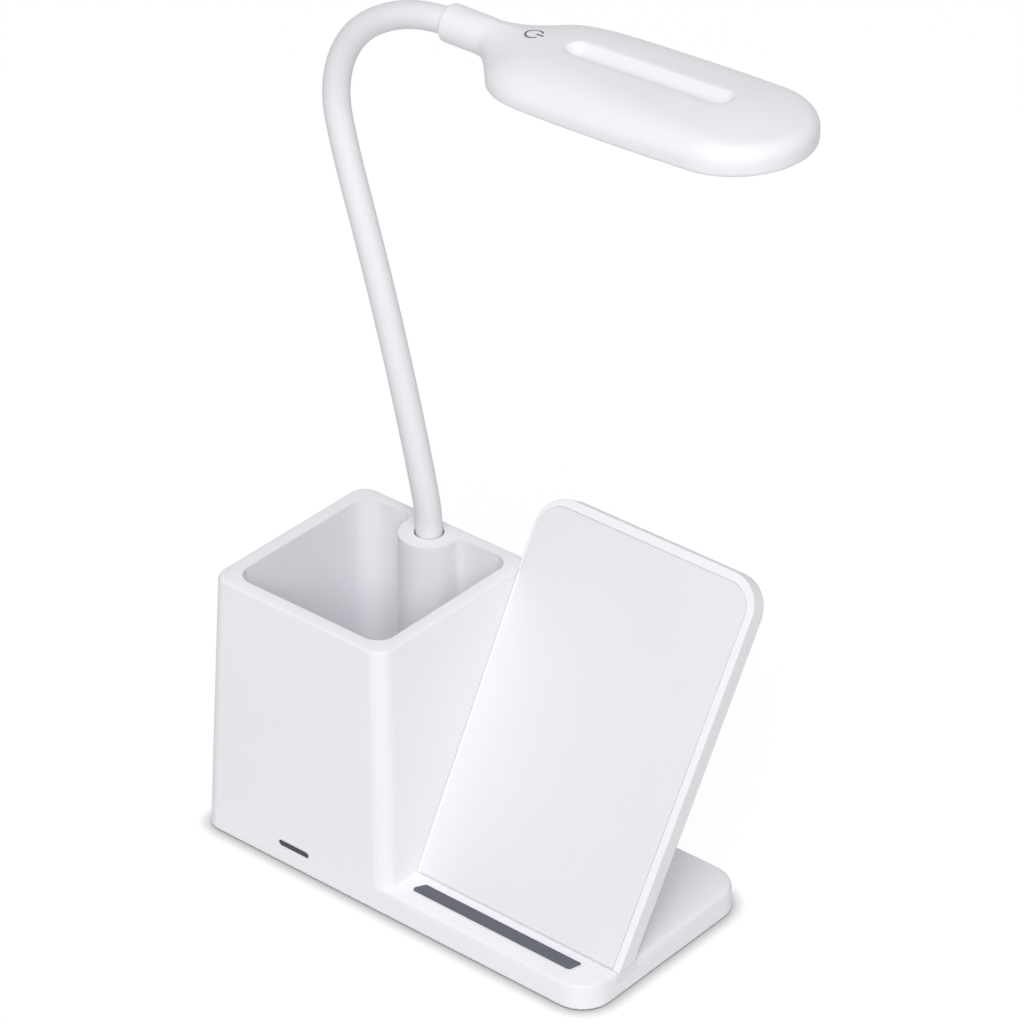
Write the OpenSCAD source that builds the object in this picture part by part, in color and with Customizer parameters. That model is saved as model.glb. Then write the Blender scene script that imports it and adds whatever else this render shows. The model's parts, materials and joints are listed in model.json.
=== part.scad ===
// Desk lamp on a low base with an open pen pot and a leaning phone charging plate.
// Origin: centre of the base's footprint, on the table. X runs to the right along
// the base, Y to the back, Z up. All lengths are in millimetres.

/* [Base] */
// length of the base along X
base_l = 170; // [150:1:200]
// width of the base along Y
base_w = 84; // [75:1:100]
// height of the base's top face above the table
base_top = 9.6; // [8:0.1:14]
// how far the rubber feet stand out below the base
feet_proud = 0.5; // [0.4:0.1:2]
// corner radius at the right end of the base
base_corner = 11.5; // [6:0.5:15]
// wall thickness of the moulded shell
wall = 2.2; // [1.8:0.1:3]

/* [Pen pot] */
// height of the pot's rim above the table
pot_top = 100.5; // [80:0.5:120]
// how far each outer wall leans inwards from bottom to rim
pot_draft = 3.9; // [1:0.1:6]
// right face of the pot at the table
pot_right = -1.9; // [-10:0.1:5]
// vertical corner radius of the pot
pot_corner = 6; // [4:0.5:10]
// height of the pot's inner floor above the table
pot_floor = 12; // [11:0.5:20]

/* [Phone plate] */
// length of the plate along its slope
plate_len = 135.6; // [110:0.1:150]
// thickness of the plate
plate_t = 6; // [5:0.1:9]
// lean of the plate from the vertical, degrees
plate_lean = 32.06; // [20:0.1:45]
// radius of the plate's upper corners
plate_corner = 12; // [6:0.5:20]
// width of the frame strip round the front panel
plate_strip = 2.9; // [1.5:0.1:5]

/* [Neck] */
// radius of the silicone sleeve
sleeve_r = 4.6; // [4:0.1:6]
// radius of the steel rod between two balls
rod_r = 2.0; // [1.5:0.1:2.4]
// radius of each ball
ball_r = 3.3; // [2.8:0.1:3.6]

/* [Head] */
// half of the head's width at its shoulders
head_w = 26.4; // [22:0.1:30]
// half of the head's width near its tip
head_wt = 25.9; // [22:0.1:30]
// wall thickness of the head's shell
head_wall = 1.6; // [1.2:0.1:2.5]

/* [Hidden] */
e = 0.01;
fine = 64;
// the pot
pot_left = -base_l / 2;
pot_front = -base_w / 2;
pot_back = base_w / 2;
pot_h = pot_top - feet_proud;
right_draft = 3.7;
// the pot's opening at the rim
open_l = -75.1;
open_r = -10.4;
open_f = -33.05;
open_b = 33.1;
open_corner = 6.7;
open_draft = 1.8;
// the neck's column at the back of the pot
col_x = -43.55;
col_y = 29.3;
col_r = 10.7;
fillet_r = 3.9;
fillet_x = 14.4;
seat_z = 92;
nut_z = 84;
// the slope of the plate
slope = 90 - plate_lean;
plate_y = -25.83;
plate_l = -6;
plate_r = 85.35;
foot_y0 = -26.0;
foot_y1 = -16.3;
foot_z = 5.9;
coil_v = 76;
screw_x = [20, 62];
// cover screws and feet
cover_pts = [[-79, -36], [-79, 36], [76, -33], [76, 33]];
feet_pts = [[-68, -30], [-68, 30], [66, -27], [66, 27], [0, 0]];
// the neck's centreline: five arcs, each a length and a turn towards +X
arc_len = [14.66, 109.05, 25.16, 44.68, 36.03];
arc_turn = [-12.56, -5.50, 4.93, 67.75, 35.38];
// the nine links: which arc each lies on, and its share of that arc
link_arc = [0, 1, 1, 1, 1, 2, 3, 3, 4];
link_from = [0, 0, 0.25, 0.5, 0.75, 0, 0, 0.5, 0];
link_to = [1, 0.25, 0.5, 0.75, 1, 1, 0.5, 1, 1];
cup_in = ball_r + 0.08;
cup_out = ball_r + 0.7;
mouth = 1.0;
sleeve_gap = 1.5;
bore_r = 0.9;
// the head, with its axis at the neck's upper end
head_z = 294.6;
collar_x0 = -32;
collar_x1 = -10;
collar_r = 6.5;
sh_x = 14.6;
sh_r = 22;
sh_zb = 289.6;
sh_zt = 302;
tip_x = 106.9;
tip_k = 0.98;
tip_zb = 292.3;
tip_zt = 300.6;
apex_x = -13.3;
// the crown of its top: how far it reaches in from the edge, and how far it falls
sh_in = 19;
sh_fall = 10.2;
tip_in = 3;
tip_fall = 3.8;
under_a = atan((tip_zb - sh_zb) / 112);
slot_x0 = 18.8;
slot_x1 = 77;
slot_r = 5.5;
slot_floor = 297.3;
// screws of the light board: place along the underside, and top of the boss
board_screws = [[16, 11.2], [96, 7.9]];

// ---- shared shapes ----

// a thin level disc, one layer of a rounded post
module disc(x, y, z, r, n = 32)
  translate([x, y, z])
    cylinder(h = e, r = r, $fn = n);

// the base's corner posts: x, distance of the centre from the long side, and radius
posts = [[base_l / 2 - base_corner, base_corner], [-base_l / 2 + 6, 6]];

// the outer form of the base from z0 to z1, its sides leaning like the pot's, its top edge rounded
module base_form(z0, z1, round_top) {
  lean = pot_draft / pot_h;
  hull()
    for (sy = [-1, 1], k = posts) {
      disc(k[0], sy * (base_w / 2 - k[1]), z0, k[1]);
      for (q = [[1, 0], [0.3, 0.3], [0, 1]]) {
        z = z1 - q[0] * round_top - e;
        f = lean * (z - z0);
        disc(k[0] - sign(k[0]) * f, sy * (base_w / 2 - k[1] - f), z, k[1] - q[1] * round_top);
      }
    }
}

// a flat slab with the outline of the base shrunk by d, from z0 to z1
module base_slab(d, z0, z1) {
  xr = posts[0][0];
  xl = posts[1][0];
  yr = base_w / 2 - posts[0][1];
  yl = base_w / 2 - posts[1][1];
  xe = base_l / 2 - d;
  ye = base_w / 2 - d;
  translate([0, 0, z0]) {
    linear_extrude(height = z1 - z0)
      polygon([[xl, -ye], [xr, -ye], [xe, -yr], [xe, yr], [xr, ye], [xl, ye], [-xe, yl], [-xe, -yl]]);
    for (sy = [-1, 1], k = posts)
      translate([k[0], sy * (base_w / 2 - k[1]), 0])
        cylinder(h = z1 - z0, r = k[1] - d, $fn = fine);
  }
}

// the outer form of the pot, shrunk by d, from z0 up to z1, its rim rounded
module pot_form(d, z0, z1, round_top) {
  steps = round_top > 0
    ? [[z0, 0], [z1 - round_top, 0], [z1 - 0.3 * round_top, 0.3], [z1 - e, 1]]
    : [[z0, 0], [z1 - e, 0]];
  hull()
    for (ix = [0, 1], iy = [0, 1], q = steps) {
      f = (q[0] - feet_proud) / pot_h;
      cx = ix == 0 ? pot_left + pot_corner + f * pot_draft
                   : pot_right - pot_corner - f * right_draft;
      cy = iy == 0 ? pot_front + pot_corner + f * pot_draft
                   : pot_back - pot_corner - f * pot_draft;
      disc(cx, cy, q[0], pot_corner - d - q[1] * round_top);
    }
}

// the hollow of the pot, grown by d, from z0 up to z1
module cup(d, z0, z1) {
  difference() {
    hull()
      for (lv = [z0, z1])
        for (ix = [0, 1], iy = [0, 1]) {
          f = open_draft * (pot_top - lv) / (pot_top - pot_floor);
          cx = ix == 0 ? open_l + open_corner + f : open_r - open_corner - f;
          cy = iy == 0 ? open_f + open_corner + f : open_b - open_corner - f;
          disc(cx, cy, lv, open_corner + d);
        }
    translate([col_x, col_y, z0 - 1])
      cylinder(h = z1 - z0 + 2, r = col_r - d, $fn = fine);
    // the column meets the back wall in two soft hollow corners
    difference() {
      translate([col_x - fillet_x, col_y, z0 - 1])
        cube([2 * fillet_x, 20, z1 - z0 + 2]);
      for (s = [-1, 1])
        translate([col_x + s * fillet_x, col_y, z0 - 2])
          cylinder(h = z1 - z0 + 4, r = fillet_r + d, $fn = fine);
    }
  }
}

// a capsule lying along X, its round ends in the XZ plane, running back along Y
module capsule_y(x, y0, y1, z, len, h) {
  translate([x - (len - h) / 2, y0, z - h / 2])
    cube([len - h, y1 - y0, h]);
  for (s = [-1, 1])
    translate([x + s * (len - h) / 2, y0, z])
      rotate([-90, 0, 0])
        cylinder(h = y1 - y0, d = h, $fn = fine);
}

// a capsule lying along X, its round ends level, from z0 to z1
module capsule_z(x0, x1, y, z0, z1, r) {
  translate([x0, y - r, z0])
    cube([x1 - x0, 2 * r, z1 - z0]);
  for (x = [x0, x1])
    translate([x, y, z0])
      cylinder(h = z1 - z0, r = r, $fn = fine);
}

// ---- base and pot ----

module body_shell() {
  color("white")
    difference() {
      union() {
        difference() {
          union() {
            base_form(feet_proud, base_top, 1.6);
            pot_form(0, feet_proud, pot_top, 1.5);
          }
          // hollow under the base and between the pot's two walls
          base_slab(wall, feet_proud - 1, base_top - wall);
          difference() {
            pot_form(wall, feet_proud - 1, pot_top - wall, 0);
            cup(wall - 0.2, pot_floor - wall, pot_top);
          }
        }
        // seat of the neck at the top of the column
        translate([col_x, col_y, nut_z])
          cylinder(h = pot_top - nut_z - 1, r = 8.9, $fn = fine);
        // bosses for the cover's screws
        for (p = cover_pts)
          translate([p[0], p[1], 2.6])
            cylinder(h = p[0] < 0 ? 9 : 5, r = 3.7, $fn = fine);
        // step that carries the plate's foot
        translate([pot_right - 2, foot_y0 - 2.2, 4])
          cube([83 - pot_right + 2, foot_y1 - foot_y0 + 4.4, 4]);
      }
      // the pot's opening
      cup(0, pot_floor, pot_top + 1);
      // recess for the bottom cover
      base_slab(1.2, feet_proud - 1, 2.6);
      // hole for the neck and its ferrule
      translate([col_x, col_y, seat_z])
        cylinder(h = 20, r = 5.15, $fn = fine);
      translate([col_x, col_y, nut_z - 1])
        cylinder(h = 20, r = 4.05, $fn = fine);
      // notch for the plate's foot, open at the right side
      translate([pot_right + 0.1, foot_y0 - 0.1, foot_z])
        cube([100, foot_y1 - foot_y0 + 0.2, 5]);
      for (x = screw_x)
        translate([x, (foot_y0 + foot_y1) / 2, 3])
          cylinder(h = 4, r = 1.3, $fn = fine);
      translate([40, -22.6, 3])
        cylinder(h = 4, r = 3, $fn = fine);
      // groove for the rest strip
      strip_form(0.1, base_top - 1.2, base_top + 1);
      // window in the pot's front
      capsule_y(col_x, pot_front - 1, pot_front + 4, 8, 13.5, 2.3);
      // opening for the socket in the back
      capsule_y(30, base_w / 2 - 4, base_w / 2 + 1, 5.78, 9.2, 3.3);
      // screw holes in the bosses
      for (p = cover_pts)
        translate([p[0], p[1], 2])
          cylinder(h = 5, r = 1.15, $fn = fine);
    }
}

module bottom_cover() {
  color("white")
    difference() {
      union() {
        base_slab(1.35, feet_proud, 2.6);
        // ribs that carry the two boards
        for (x = [6, 52])
          translate([x, -6, 2.5])
            cube([2, 40, 0.5]);
        for (x = [-70, -20])
          translate([x, -35, 2.5])
            cube([2, 26, 1.5]);
      }
      for (p = cover_pts) {
        translate([p[0], p[1], 0])
          cylinder(h = 5, r = 1.3, $fn = fine);
        translate([p[0], p[1], 0])
          cylinder(h = 2.1, r = 2.4, $fn = fine);
      }
      for (p = feet_pts)
        translate([p[0], p[1], 0])
          cylinder(h = feet_proud + 0.6, r = 4.6, $fn = fine);
    }
}

module cover_screws() {
  color("silver")
    for (p = cover_pts)
      translate([p[0], p[1], 0]) {
        difference() {
          translate([0, 0, 1.1])
            cylinder(h = 1, r = 2.2, $fn = fine);
          translate([0, 0, 1])
            cylinder(h = 0.7, r = 0.9, $fn = 6);
        }
        translate([0, 0, 2])
          cylinder(h = 4.7, r = 1.1, $fn = fine);
      }
}

module rubber_feet() {
  color("dimgray")
    for (p = feet_pts)
      translate([p[0], p[1], 0])
        rotate_extrude($fn = fine)
          polygon([[0, 0], [3.9, 0], [4.5, 0.5], [4.5, feet_proud + 0.58], [0, feet_proud + 0.58]]);
}

// outline of the rest strip, grown by d: its ends are cut at a slant
module strip_form(d, z0, z1)
  translate([0, 0, z0])
    linear_extrude(height = z1 - z0)
      polygon([[5.9 - d, -30.15 + d], [3.9 - d, -33.8 - d], [4.2 - d, -34.75 - d],
        [70.6 + d, -34.75 - d], [71.5 + d, -34.3 - d], [72.6 + d, -30.15 + d]]);

module rest_strip() {
  color("dimgray")
    strip_form(0, base_top - 1.2, base_top + 0.7);
}

module indicator_light_pipe() {
  color("dimgray") {
    capsule_y(col_x, pot_front + 0.5, pot_front + 3, 8, 13.4, 2.2);
    translate([col_x - 7.5, pot_front + 2.75, 6.2])
      cube([15, 1, 3.4]);
  }
}

module indicator_led() {
  color("white")
    union() {
      translate([col_x - 1.6, -37.6, 5.2])
        cube([3.2, 1.4, 3.8]);
      translate([col_x, -37.6, 8])
        rotate([90, 0, 0])
          cylinder(h = 0.4, r = 0.9, $fn = fine);
    }
}

module board_part(x, y, z, sx, sy, sz)
  translate([x, y, z])
    cube([sx, sy, sz]);

module control_board() {
  color("green")
    difference() {
      union() {
        board_part(-72, -36.2, 4, 54, 28, 1.2);
        board_part(-66, -28, 5.1, 7, 7, 1.5);
        board_part(-54, -20, 5.1, 5, 4, 1.8);
        board_part(-32, -30, 5.1, 6, 5, 2.2);
        board_part(-52, -13, 5.1, 5, 3.5, 2);
      }
      for (x = [-69, -21])
        translate([x, -11, 3])
          cylinder(h = 4, r = 1.2, $fn = fine);
    }
}

module charger_board() {
  color("green")
    difference() {
      union() {
        board_part(5, -8, 3, 50, 44.5, 1.2);
        board_part(14, 2, 4.1, 8, 8, 1.2);
        board_part(34, 4, 4.1, 6, 6, 2.6);
        board_part(44, -2, 4.1, 5, 5, 2.2);
        board_part(12, 20, 4.1, 5, 3, 1.6);
      }
      for (x = [8, 52])
        translate([x, 32, 2])
          cylinder(h = 4, r = 1.2, $fn = fine);
    }
}

module usb_socket() {
  color("silver")
    difference() {
      union() {
        capsule_y(30, 34.4, 41.6, 5.78, 8.9, 3.1);
        translate([26.5, 34.4, 4.2])
          cube([7, 5, 0.4]);
      }
      capsule_y(30, 35.6, 42, 5.78, 8.3, 2.5);
    }
  color("black")
    translate([27, 35.5, 5.4])
      cube([6, 5, 0.7]);
}

// ---- phone plate ----

// flat work on the plate: x across, y up the slope, z outwards from its front
module on_slope()
  translate([0, plate_y, base_top])
    rotate([slope, 0, 0])
      children();

// a plate with two rounded upper corners, from v0 up to v1, from w0 to w1
module plate_form(x0, x1, v0, v1, w0, w1, r) {
  translate([x0, v0, w0])
    cube([x1 - x0, v1 - r - v0, w1 - w0]);
  translate([x0 + r, v0, w0])
    cube([x1 - x0 - 2 * r, v1 - v0, w1 - w0]);
  for (x = [x0 + r, x1 - r])
    translate([x, v1 - r, w0])
      cylinder(h = w1 - w0, r = r, $fn = fine);
}

// everything at the pot's side of its leaning right face, with a gap g
module pot_side(g)
  translate([pot_right - right_draft * (base_top - feet_proud) / pot_h + g, 0, base_top])
    rotate([0, -atan(right_draft / pot_h), 0])
      translate([-40, -80, -30])
        cube([40, 200, 30 + pot_top - base_top + 0.3]);

module plate_rear_shell() {
  color("white")
    difference() {
      union() {
        difference() {
          on_slope()
            plate_form(plate_l, plate_r, -12, plate_len, -plate_t, 0, plate_corner);
          translate([-50, -100, base_top - 30])
            cube([200, 200, 30]);
        }
        // foot in the base's notch
        translate([pot_right + 0.3, foot_y0, foot_z])
          cube([85 - pot_right - 0.3, foot_y1 - foot_y0, base_top - foot_z]);
        // thick root behind the plate
        difference() {
          translate([pot_right + 0.3, foot_y1 - 8, base_top - 0.5])
            cube([85 - pot_right - 0.3, 8, 5]);
          on_slope()
            for (z = [-plate_t - 41.5, 0])
              translate([-100, -20, z])
                cube([300, 100, 40]);
        }
      }
      pot_side(0.15);
      // pocket for the front panel
      difference() {
        on_slope()
          plate_form(plate_l + 1.1, plate_r - plate_strip, 0.15, plate_len - plate_strip - 0.3,
            -1.5, 5, plate_corner - plate_strip);
        pot_side(1.2);
      }
      // room for the coil
      on_slope() {
        translate([3, 12, -4.6])
          cube([76, 112, 4]);
        translate([36.5, -20, -4.6])
          cube([7, 40, 3.2]);
      }
      translate([40, -22.6, foot_z - 1])
        cylinder(h = 4, r = 3, $fn = fine);
      for (x = screw_x)
        translate([x, (foot_y0 + foot_y1) / 2, foot_z - 1])
          cylinder(h = 4.2, r = 0.95, $fn = fine);
    }
}

module plate_front_panel() {
  color("white")
    difference() {
      on_slope()
        plate_form(plate_l + 1.3, plate_r - plate_strip - 0.2, 0.35,
          plate_len - plate_strip - 0.5, -1.5, 0, plate_corner - plate_strip - 0.2);
      pot_side(1.4);
    }
}

module plate_screws() {
  color("silver")
    for (x = screw_x)
      translate([x, (foot_y0 + foot_y1) / 2, 0]) {
        translate([0, 0, 2.9])
          cylinder(h = 1.1, r = 2.2, $fn = fine);
        translate([0, 0, 3.5])
          cylinder(h = 5.2, r = 0.95, $fn = fine);
      }
}

module charging_coil() {
  color("peru")
    on_slope()
      translate([40, coil_v, -2.75])
        rotate_extrude($fn = 96)
          translate([12, 0])
            square([10, 1.15]);
}

module ferrite_sheet() {
  color("dimgray")
    on_slope()
      translate([40 - 23.5, coil_v - 23.5, -3.55])
        cube([47, 47, 0.8]);
}

module coil_leads() {
  y1 = plate_y + 2.3 * sin(slope);
  z1 = base_top - 2.3 * cos(slope);
  color("peru")
    for (x = [38.6, 41.4]) {
      on_slope()
        translate([x, -0.3, -2.3])
          rotate([-90, 0, 0])
            cylinder(h = coil_v - 21.7, r = 0.5, $fn = fine);
      translate([x, y1, 3])
        cylinder(h = z1 - 3, r = 0.5, $fn = fine);
      translate([x, y1 - 0.3, 3.4])
        rotate([-90, 0, 0])
          cylinder(h = -7.75 - y1, r = 0.5, $fn = fine);
    }
}

// ---- neck ----

// heading, x and z at the start of arc i, by walking the arcs before it
function arc_a(i) = i == 0 ? 0 : arc_a(i - 1) + arc_turn[i - 1];
function arc_k(i) = arc_turn[i] * PI / 180 / arc_len[i];
function arc_x(i) = i == 0 ? col_x
  : arc_x(i - 1) + (cos(arc_a(i - 1)) - cos(arc_a(i))) / arc_k(i - 1);
function arc_z(i) = i == 0 ? pot_top
  : arc_z(i - 1) + (sin(arc_a(i)) - sin(arc_a(i - 1))) / arc_k(i - 1);
// heading and place at the share f of arc i
function at_a(i, f) = arc_a(i) + f * arc_turn[i];
function at_x(i, f) = arc_x(i) + (cos(arc_a(i)) - cos(at_a(i, f))) / arc_k(i);
function at_z(i, f) = arc_z(i) + (sin(at_a(i, f)) - sin(arc_a(i))) / arc_k(i);

// children stand at the share f of arc i, with Z along the neck
module on_neck(i, f)
  translate([at_x(i, f), col_y, at_z(i, f)])
    rotate([0, at_a(i, f), 0])
      children();

// a round rod of radius r along arc i, from the share f0 to the share f1
module arc_rod(i, f0, f1, r) {
  big = abs(1 / arc_k(i));
  s = arc_turn[i] > 0 ? 1 : -1;
  a0 = at_a(i, f0);
  a1 = at_a(i, f1);
  translate([arc_x(i) + s * big * cos(arc_a(i)), col_y, arc_z(i) - s * big * sin(arc_a(i))])
    rotate([90, 0, 0])
      rotate([0, 0, s > 0 ? 180 - a1 : -a0])
        rotate_extrude(angle = abs(a1 - a0), $fn = 360)
          translate([big, 0])
            circle(r = r, $fn = fine);
}

module neck_core(k) {
  i = link_arc[k];
  color("silver")
    difference() {
      union() {
        arc_rod(i, link_from[k], link_to[k], rod_r);
        if (k == 0)
          translate([col_x, col_y, seat_z + 2.5])
            cylinder(h = pot_top - seat_z - 2.5, r = rod_r, $fn = fine);
        if (k == 8)
          on_neck(4, 1)
            cylinder(h = 12, r = rod_r, $fn = fine);
        if (k < 8)
          on_neck(i, link_to[k])
            sphere(r = ball_r, $fn = fine);
        if (k > 0)
          on_neck(i, link_from[k])
            sphere(r = cup_out, $fn = fine);
      }
      if (k > 0) {
        on_neck(i, link_from[k])
          sphere(r = cup_in, $fn = fine);
        on_neck(i, link_from[k])
          translate([0, 0, -mouth - 6])
            cylinder(h = 6, r = 6, $fn = fine);
      }
    }
}

module neck_sleeve(k) {
  i = link_arc[k];
  g = sleeve_gap / arc_len[i];
  color("white")
    difference() {
      union() {
        arc_rod(i, link_from[k] + (k > 0 ? g : 0), link_to[k] - (k < 8 ? g : 0), sleeve_r);
        if (k == 0)
          translate([col_x, col_y, seat_z + 2.5])
            cylinder(h = pot_top - seat_z - 2.5, r = sleeve_r, $fn = fine);
      }
      arc_rod(i, link_from[k], link_to[k], rod_r);
      if (k == 0)
        translate([col_x, col_y, seat_z])
          cylinder(h = pot_top - seat_z, r = rod_r, $fn = fine);
      if (k > 0)
        on_neck(i, link_from[k])
          sphere(r = cup_out, $fn = fine);
      if (k < 8)
        on_neck(i, link_to[k])
          sphere(r = cup_out + 0.35, $fn = fine);
    }
}

module neck_core_0() { neck_core(0); }
module neck_core_1() { neck_core(1); }
module neck_core_2() { neck_core(2); }
module neck_core_3() { neck_core(3); }
module neck_core_4() { neck_core(4); }
module neck_core_5() { neck_core(5); }
module neck_core_6() { neck_core(6); }
module neck_core_7() { neck_core(7); }
module neck_core_8() { neck_core(8); }
module neck_sleeve_0() { neck_sleeve(0); }
module neck_sleeve_1() { neck_sleeve(1); }
module neck_sleeve_2() { neck_sleeve(2); }
module neck_sleeve_3() { neck_sleeve(3); }
module neck_sleeve_4() { neck_sleeve(4); }
module neck_sleeve_5() { neck_sleeve(5); }
module neck_sleeve_6() { neck_sleeve(6); }
module neck_sleeve_7() { neck_sleeve(7); }
module neck_sleeve_8() { neck_sleeve(8); }

module neck_lower_ferrule() {
  color("silver")
    translate([col_x, col_y, 0])
      difference() {
        union() {
          translate([0, 0, seat_z])
            cylinder(h = 2.5, r = 5.1, $fn = fine);
          translate([0, 0, nut_z - 4])
            cylinder(h = seat_z - nut_z + 4, r = 3.95, $fn = fine);
        }
        translate([0, 0, nut_z - 5])
          cylinder(h = 20, r = 1.4, $fn = fine);
      }
}

module neck_lock_nut() {
  color("silver")
    translate([col_x, col_y, nut_z - 3])
      difference() {
        cylinder(h = 3, r = 6.6, $fn = 6);
        translate([0, 0, -1])
          cylinder(h = 5, r = 3.95, $fn = fine);
      }
}

module lamp_wire() {
  color("dimgray") {
    translate([col_x, col_y, 12.2])
      cylinder(h = seat_z + 2.4 - 12.2, r = 1.2, $fn = fine);
    translate([col_x, col_y - 5, 12.2])
      rotate([90, 0, 90])
        rotate([0, 0, -90])
          rotate_extrude(angle = 90, $fn = 96)
            translate([5, 0])
              circle(r = 1.2, $fn = 32);
    translate([col_x, -12, 7.2])
      rotate([-90, 0, 0])
        cylinder(h = col_y - 5 + 12, r = 1.2, $fn = fine);
    translate([col_x, -12, 5.2])
      cylinder(h = 2, r = 1.2, $fn = fine);
    translate([col_x, -12, 7.2])
      sphere(r = 1.2, $fn = 32);
  }
}

module neck_upper_ferrule() {
  color("silver")
    on_neck(4, 1)
      difference() {
        cylinder(h = 15, r = sleeve_r, $fn = fine);
        translate([0, 0, -1])
          cylinder(h = 13, r = rod_r, $fn = fine);
        cylinder(h = 20, r = 1.2, $fn = fine);
      }
}

// ---- head ----

// one ring of the head's form: a small round below, and the crown above
module head_ring(cx, cy, r, kx, zb, zt, reach, fall) {
  translate([cx, cy, zb])
    scale([kx, 1, 1]) {
      cylinder(h = 1, r = r - 1.3, $fn = 48);
      translate([0, 0, 0.4])
        cylinder(h = 1, r = r - 0.4, $fn = 48);
      translate([0, 0, 1.3])
        cylinder(h = zt - fall - zb - 1.3, r = r, $fn = 48);
    }
  for (t = [0.03, 0.1, 0.2, 0.36, 0.6, 1])
    translate([cx, cy, zt - fall * (1 - sqrt(1 - pow(1 - t, 2))) - e])
      scale([kx, 1, 1])
        cylinder(h = e, r = r - reach * t, $fn = 48);
}

// the head's outer form
module head_form() {
  hull() {
    for (sy = [-1, 1])
      head_ring(sh_x, col_y + sy * (head_w - sh_r), sh_r, 1, sh_zb, sh_zt, sh_in, sh_fall);
    head_ring(tip_x - tip_k * head_wt, col_y, head_wt, tip_k, tip_zb, tip_zt, tip_in, tip_fall);
    translate([apex_x, col_y, head_z + 0.75])
      rotate([0, 90, 0])
        cylinder(h = e, r = collar_r - 0.75, $fn = 48);
  }
}

// the hollow inside the head, a wall's thickness inside its form
module head_hollow() {
  hull()
    for (sy = [-1, 1]) {
      // each step: top of the step, and how far it stands in from the shoulder's ring
      for (q = [[295.2, 3.1], [297.6, 6.4], [299, 10], [300.2, 15.2]])
        translate([sh_x, col_y + sy * (head_w - sh_r), sh_zb + 2])
          cylinder(h = q[0] - sh_zb - 2, r = sh_r - q[1], $fn = 32);
      for (q = [[296.8, 2.4], [299, 4.2]])
        translate([tip_x - tip_k * head_wt, col_y + sy * 0.5, tip_zb + 2])
          cylinder(h = q[0] - tip_zb - 2, r = tip_k * head_wt - q[1], $fn = 32);
      translate([apex_x + 3, col_y - 3, head_z + 0.6 + 2.6 * sy - 0.5])
        cube([1, 6, 1]);
    }
}

// flat work on the head's underside: x towards the tip, z up into the head
module on_under()
  translate([-6, col_y, sh_zb])
    rotate([0, -under_a, 0])
      children();

// outline of the opening under the head, grown by d
module glow_form(d, z0, z1)
  on_under()
    translate([0, 0, z0])
      linear_extrude(height = z1 - z0)
        union() {
          translate([17, 0])
            scale([1, 1])
              circle(r = 17 + d, $fn = 96);
          translate([88, 0])
            circle(r = 17.5 + d, $fn = 96);
          polygon([[17, -17 - d], [88, -17.5 - d], [88, 17.5 + d], [17, 17 + d]]);
        }

module head_top_shell() {
  color("white")
    difference() {
      union() {
        difference() {
          head_form();
          head_hollow();
        }
        // collar round the neck's end
        translate([collar_x0, col_y, head_z])
          rotate([0, 90, 0])
            rotate_extrude($fn = fine)
              polygon([[0, 0], [collar_r - 1.2, 0], [collar_r - 0.35, 0.35], [collar_r, 1.2],
                [collar_r, collar_x1 - collar_x0], [0, collar_x1 - collar_x0]]);
        // walls and floor of the long recess
        capsule_z(slot_x0, slot_x1, col_y, slot_floor - 1.3, tip_zt - 0.15, slot_r + 1.3);
        // bosses for the board's screws
        for (b = board_screws)
          on_under()
            translate([b[0], 0, 4])
              cylinder(h = b[1] - 4, r = 2.4, $fn = fine);
      }
      capsule_z(slot_x0, slot_x1, col_y, slot_floor, sh_zt + 2, slot_r);
      // opening under the head for the diffuser
      glow_form(0.15, -3, 1.8);
      glow_form(-1.2, 1.7, 2.6);
      // bore of the collar, running into the hollow
      translate([collar_x0 - 1, col_y, head_z])
        rotate([0, 90, 0])
          cylinder(h = 30, r = sleeve_r + 0.05, $fn = fine);
      power_form(300.6, 304);
      for (b = board_screws)
        on_under()
          translate([b[0], 0, 3])
            cylinder(h = 4.5, r = 0.85, $fn = fine);
    }
}

module diffuser() {
  color("white")
    intersection() {
      glow_form(0, -1.5, 1.6);
      head_form();
    }
}

module led_board() {
  color("lightgray")
    difference() {
      on_under()
        translate([9, -12, 3])
          cube([92, 24, 1]);
      for (b = board_screws)
        on_under()
          translate([b[0], 0, 2])
            cylinder(h = 3, r = 1.1, $fn = fine);
    }
}

module leds() {
  color("khaki")
    for (i = [0 : 5], s = [-1, 1])
      on_under()
        translate([22 + 14 * i - 1.4, s * 7 - 1.4, 2.3])
          cube([2.8, 2.8, 0.7]);
}

module head_screws() {
  color("silver")
    for (b = board_screws)
      on_under()
        translate([b[0], 0, 0]) {
          translate([0, 0, 2.1])
            cylinder(h = 0.9, r = 1.8, $fn = fine);
          translate([0, 0, 2.5])
            cylinder(h = 4.5, r = 0.85, $fn = fine);
        }
}

module head_wire() {
  color("dimgray")
    translate([collar_x0 + 12, col_y, head_z])
      rotate([0, 90, 0])
        cylinder(h = 22.7, r = 0.9, $fn = fine);
}

module touch_pad() {
  color("peru")
    translate([3.4, col_y, 297.1])
      cylinder(h = 0.4, r = 3.7, $fn = fine);
}

module touch_contact() {
  color("gold")
    translate([4.4, col_y + 2, 293.9])
      cylinder(h = 3.2, r = 0.8, $fn = 32);
}

// the power symbol: an open ring with a bar in its gap, the gap towards the tip
module power_form(z0, z1)
  translate([2, col_y, z0])
    linear_extrude(height = z1 - z0) {
      difference() {
        circle(r = 3.1, $fn = fine);
        circle(r = 2.45, $fn = fine);
        polygon([[0, 0], [6, 4.2], [6, -4.2]]);
      }
      translate([0.9, -0.33])
        square([2.9, 0.66]);
    }

module power_mark() {
  color("dimgray")
    intersection() {
      power_form(300.6, 304);
      head_form();
    }
}

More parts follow.
